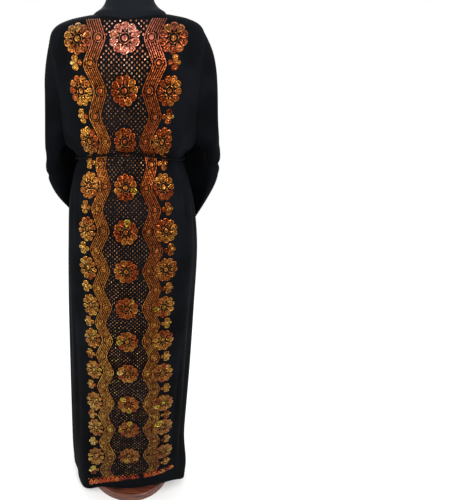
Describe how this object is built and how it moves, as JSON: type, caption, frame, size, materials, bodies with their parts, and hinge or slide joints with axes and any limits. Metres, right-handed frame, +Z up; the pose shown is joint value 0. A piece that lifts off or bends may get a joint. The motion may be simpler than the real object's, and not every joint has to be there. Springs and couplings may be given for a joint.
{
  "type": "abaya on a limbless dress form",
  "caption": "Long black open-front abaya with wide sleeves, stone ornament and a tied cord belt, worn by a limbless dress form on a pole and a round wooden base.",
  "frame": {"origin": "centre of the wooden base's underside, on the floor under the pole", "axes": "+Z up, -Y is the way the robe's front faces, +X is the robe's own left side"},
  "size_m": [0.4543, 0.3296, 1.55],
  "materials": {
    "black_crepe": "matt woven crepe with set stones",
    "black_cord": "soft round cord",
    "form_jersey": "smooth stretch cover",
    "pole_steel": "satin",
    "stained_wood": "polished dark brown"
  },
  "bodies": {
    "root": {"back_panel": "black_crepe", "front_left": "black_crepe", "front_right": "black_crepe", "sleeve_left": "black_crepe", "sleeve_right": "black_crepe", "belt_waist": "black_cord", "belt_knot": "black_cord", "belt_loop_left": "black_cord", "belt_loop_right": "black_cord", "belt_end_left": "black_cord", "belt_end_right": "black_cord", "belt_tip_left": "black_cord", "belt_tip_right": "black_cord", "form_torso": "form_jersey", "stand_pole": "pole_steel", "stand_base": "stained_wood"}
  },
  "joints": []
}
